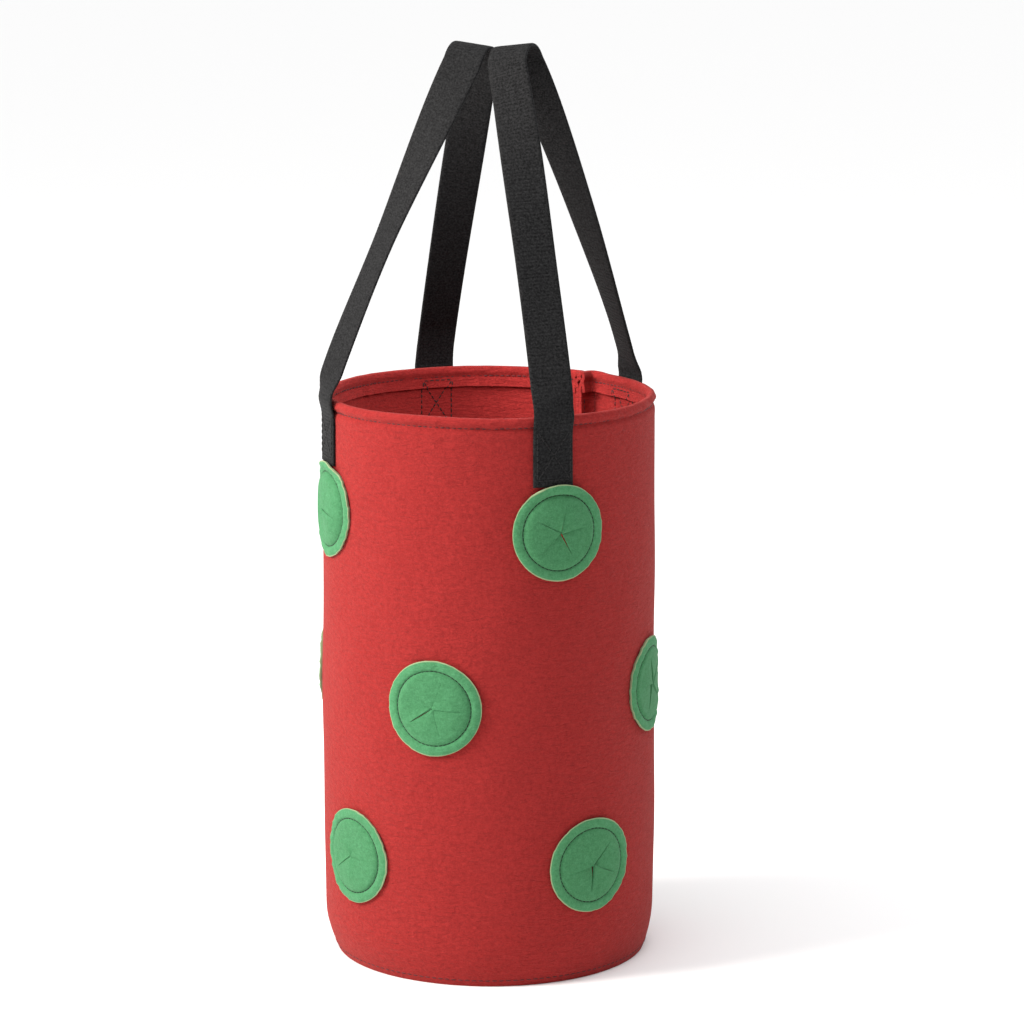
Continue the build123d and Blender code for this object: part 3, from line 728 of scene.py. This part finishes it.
def strap_mesh(front, back, side, ends):
    """The section carried along the strap's line, with a rib of weft every RIB_PITCH. On the wall it
    takes the wall's roundness, and above the rim it goes flat."""
    line, width = strap_line(front, back, side, ends)
    along = np.concatenate([[0], np.cumsum(np.linalg.norm(np.diff(line, axis=0), axis=1))])
    count = int(along[-1] / RIB_PITCH * 6)
    s = np.linspace(0, along[-1], count)
    line = np.stack([np.interp(s, along, line[:, k]) for k in range(3)], -1)
    width = np.stack([np.interp(s, along, width[:, k]) for k in range(3)], -1)
    soften = np.hanning(25) / np.hanning(25).sum()
    padded = np.pad(line, ((12, 12), (0, 0)), mode="reflect", reflect_type="odd")
    line = np.stack([np.convolve(padded[:, k], soften, mode="valid") for k in range(3)], -1)
    tangent = np.gradient(line, s, axis=0)
    tangent /= np.linalg.norm(tangent, axis=1, keepdims=True)
    width -= tangent * (width * tangent).sum(1, keepdims=True)
    width /= np.linalg.norm(width, axis=1, keepdims=True)
    normal = np.cross(width, tangent)
    across, off = webbing_section()
    half = WEBBING_WIDTH / 2
    rib = RIB_HEIGHT * (np.abs(np.sin(math.pi * s / RIB_PITCH))**0.7 - 0.6)
    selvedge = 1 - 0.75 * smooth(np.abs(across), half - 3.0, half - 0.6)
    thick = off[None, :] + np.sign(off)[None, :] * rib[:, None] * selvedge[None, :]
    flat = (line[:, None] + width[:, None] * across[None, :, None] + normal[:, None] * thick[..., None])
    # the same section laid on the wall
    azimuth = np.where(s < s[-1] / 2, front, back)[:, None]
    sense = np.sign(-width[:, 0] * np.sin(azimuth[:, 0]) + width[:, 1] * np.cos(azimuth[:, 0]))
    z = line[:, 2:3]
    roll = RIM_BULGE * np.exp(-((z - RIM_HEIGHT) / 6.5)**2)
    laid = on_wall(azimuth, across[None, :] * sense[:, None], z + 0 * across[None, :],
                   WEBBING_OFF_WALL + 0.1 + roll + thick)
    outward = np.stack([np.cos(azimuth), np.sin(azimuth), 0 * azimuth], -1)
    flat = flat + roll[..., None] * outward
    free = smooth(z, RIM_HEIGHT - 1.0, RIM_HEIGHT + 18.0)[..., None]
    points = laid * (1 - free) + flat * free
    uv = np.stack(np.broadcast_arrays(across[None, :] * MM, s[:, None] * MM), -1)
    return points, uv, s[-1]


def make_straps():
    """Each strap as one length of webbing, from its front end on the bag over its loop to its back end."""
    for name, side in (("right", 1), ("left", -1)):
        front, back = node_azimuth(f"{name}_front_strap_end"), node_azimuth(f"{name}_back_strap_end")
        ends = [strap_bottom(f"{name}_front") - STRAP_TUCK, strap_bottom(f"{name}_back") - STRAP_TUCK]
        points, uv, length = strap_mesh(front, back, side, ends)
        rows, cols = points.shape[:2]
        faces = grid_faces(rows, cols, wrap=True).tolist()
        faces += [list(range(cols))[::-1], list(range((rows - 1) * cols, rows * cols))]
        strap = add_mesh(f"{name}_webbing_strap", points, faces, uv, WEBBING)
        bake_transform(strap)
        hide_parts(f"{name}_webbing_loop", f"{name}_front_strap_end", f"{name}_back_strap_end")


# ---- box stitches of the straps --------------------------------------------------------------
BOX_WIDTH = WEBBING_WIDTH - 5.0
BOX_DROP = 8.0               # from the rim's top to the box's upper run
BOX_TOP = RIM_HEIGHT - BOX_DROP
BOX_FOOT = 2.0               # from the strap's cut end to its lower run


def box_path(bottom):
    """(across, up) of a box with a cross, as separate straight runs."""
    w = BOX_WIDTH / 2
    corners = [(-w, bottom), (w, bottom), (w, BOX_TOP), (-w, BOX_TOP)]
    runs = [(0, 1), (1, 2), (2, 3), (3, 0), (0, 2), (1, 3)]
    t = np.linspace(0.02, 0.98, 40)[:, None]
    return [np.array(corners[a]) * (1 - t) + np.array(corners[b]) * t for a, b in runs]


def make_box_stitches():
    """A box with a cross on each strap end, seen outside on the webbing and inside on the felt."""
    for name in ("right_front", "right_back", "left_front", "left_back"):
        azimuth = node_azimuth(f"{name}_strap_end")
        rows = []
        for run in box_path(strap_bottom(name) + BOX_FOOT):
            x, z = run.T
            outside = WEBBING_OFF_WALL + 0.2 + WEBBING_THICKNESS / 2 + 0.12 + 0 * x
            depth = np.clip(RIM_HEIGHT - z, BOX_DROP, HEM_EDGE)
            hem = -(FELT / 2) - through(-depth, ROLL_IN[::-1]) - FELT / 2 - 0.12
            inside = np.where(RIM_HEIGHT - z < HEM_DEPTH, hem, -FELT - 0.12)
            for height, sign in ((outside, 1), (inside, -1)):
                points = on_wall(azimuth, x, z, height)
                away = on_wall(azimuth, x, z, height + sign)
                rows.append((points, away - points))
        make_stitches(f"{name}_box_thread", f"{name}_box_stitch", rows, 2.9, 0.45, 0.8,
                      BLACK_THREAD)


# ---- stage -----------------------------------------------------------------------------------
def look(obj, target):
    """Turns an object so that its -Z points at the target."""
    gaze = np.array(target) - np.array(obj.location)
    flat = math.hypot(gaze[0], gaze[1])
    obj.rotation_euler = (math.pi / 2 + math.atan2(gaze[2], flat), 0, math.atan2(-gaze[0], gaze[1]))


VIEW_AZIMUTH = math.radians(22.1)
CAMERA_DISTANCE = 2.360
CAMERA_HEIGHT = 0.7305
LENS = 139.4
PITCH = math.radians(11.05)
YAW = math.radians(0.340)


def make_camera():
    """The camera stands in front of the bag and to its right, and looks a little down."""
    camera = bpy.data.cameras.new("camera")
    camera.lens, camera.sensor_width = LENS, 36.0
    obj = bpy.data.objects.new("camera", camera)
    bpy.context.scene.collection.objects.link(obj)
    obj.location = (CAMERA_DISTANCE * math.sin(VIEW_AZIMUTH), -CAMERA_DISTANCE * math.cos(VIEW_AZIMUTH),
                    CAMERA_HEIGHT)
    obj.rotation_euler = (math.pi / 2 - PITCH, 0, VIEW_AZIMUTH - YAW)
    bpy.context.scene.camera = obj


def make_light(name, azimuth, elevation, distance, size, power, colour, aim):
    """An area light that faces a height on the bag's axis, from an azimuth counted from the camera."""
    lamp = bpy.data.lights.new(name, "AREA")
    lamp.shape, lamp.size, lamp.energy, lamp.color = "DISK", size, power, linear(colour)[:3]
    obj = bpy.data.objects.new(name, lamp)
    bpy.context.scene.collection.objects.link(obj)
    a, e = math.radians(azimuth) + VIEW_AZIMUTH, math.radians(elevation)
    obj.location = (distance * math.cos(e) * math.sin(a), -distance * math.cos(e) * math.cos(a),
                    aim + distance * math.sin(e))
    look(obj, (0, 0, aim))
    obj.visible_camera = False


def make_stage():
    """A wide pale floor and a white world."""
    material, shader = new_material("pale_backdrop", Base_Color=linear("#F4F4F4"), Roughness=0.9)
    shader.inputs["Specular IOR Level"].default_value = 0.1
    half = 60.0
    corners = np.array([[-half, -half, 0], [half, -half, 0], [half, half, 0], [-half, half, 0]]) / MM
    floor = add_mesh("floor", corners, [[0, 1, 2, 3]], np.zeros((4, 2)), material)
    world = bpy.data.worlds.new("studio")
    world.use_nodes = True
    world.node_tree.nodes["Background"].inputs[0].default_value = linear("#FFFFFF")
    world.node_tree.nodes["Background"].inputs[1].default_value = 0.3
    bpy.context.scene.world = world
    bpy.context.scene.view_settings.view_transform = "Standard"


def make_ceiling():
    """A wide soft light from above that reaches the far floor as evenly as the near one."""
    lamp = bpy.data.lights.new("ceiling", "SUN")
    lamp.angle, lamp.energy = math.radians(80), 2.5
    obj = bpy.data.objects.new("ceiling", lamp)
    bpy.context.scene.collection.objects.link(obj)
    obj.rotation_euler = (math.radians(5), 0, VIEW_AZIMUTH)


make_camera()
make_stage()
make_light("key", -72, 32, 1.9, 0.8, 56, "#FFFAF4", 0.22)
make_light("fill", 125, 20, 2.2, 0.8, 9, "#F6F8FF", 0.2)
make_light("mouth", 0, 89, 0.07, 0.10, 0.16, "#FFFFFF", 0.3)
make_ceiling()

make_bottom_panel()
make_side_wall()
make_wall_threads()
make_ports()
make_straps()
make_box_stitches()
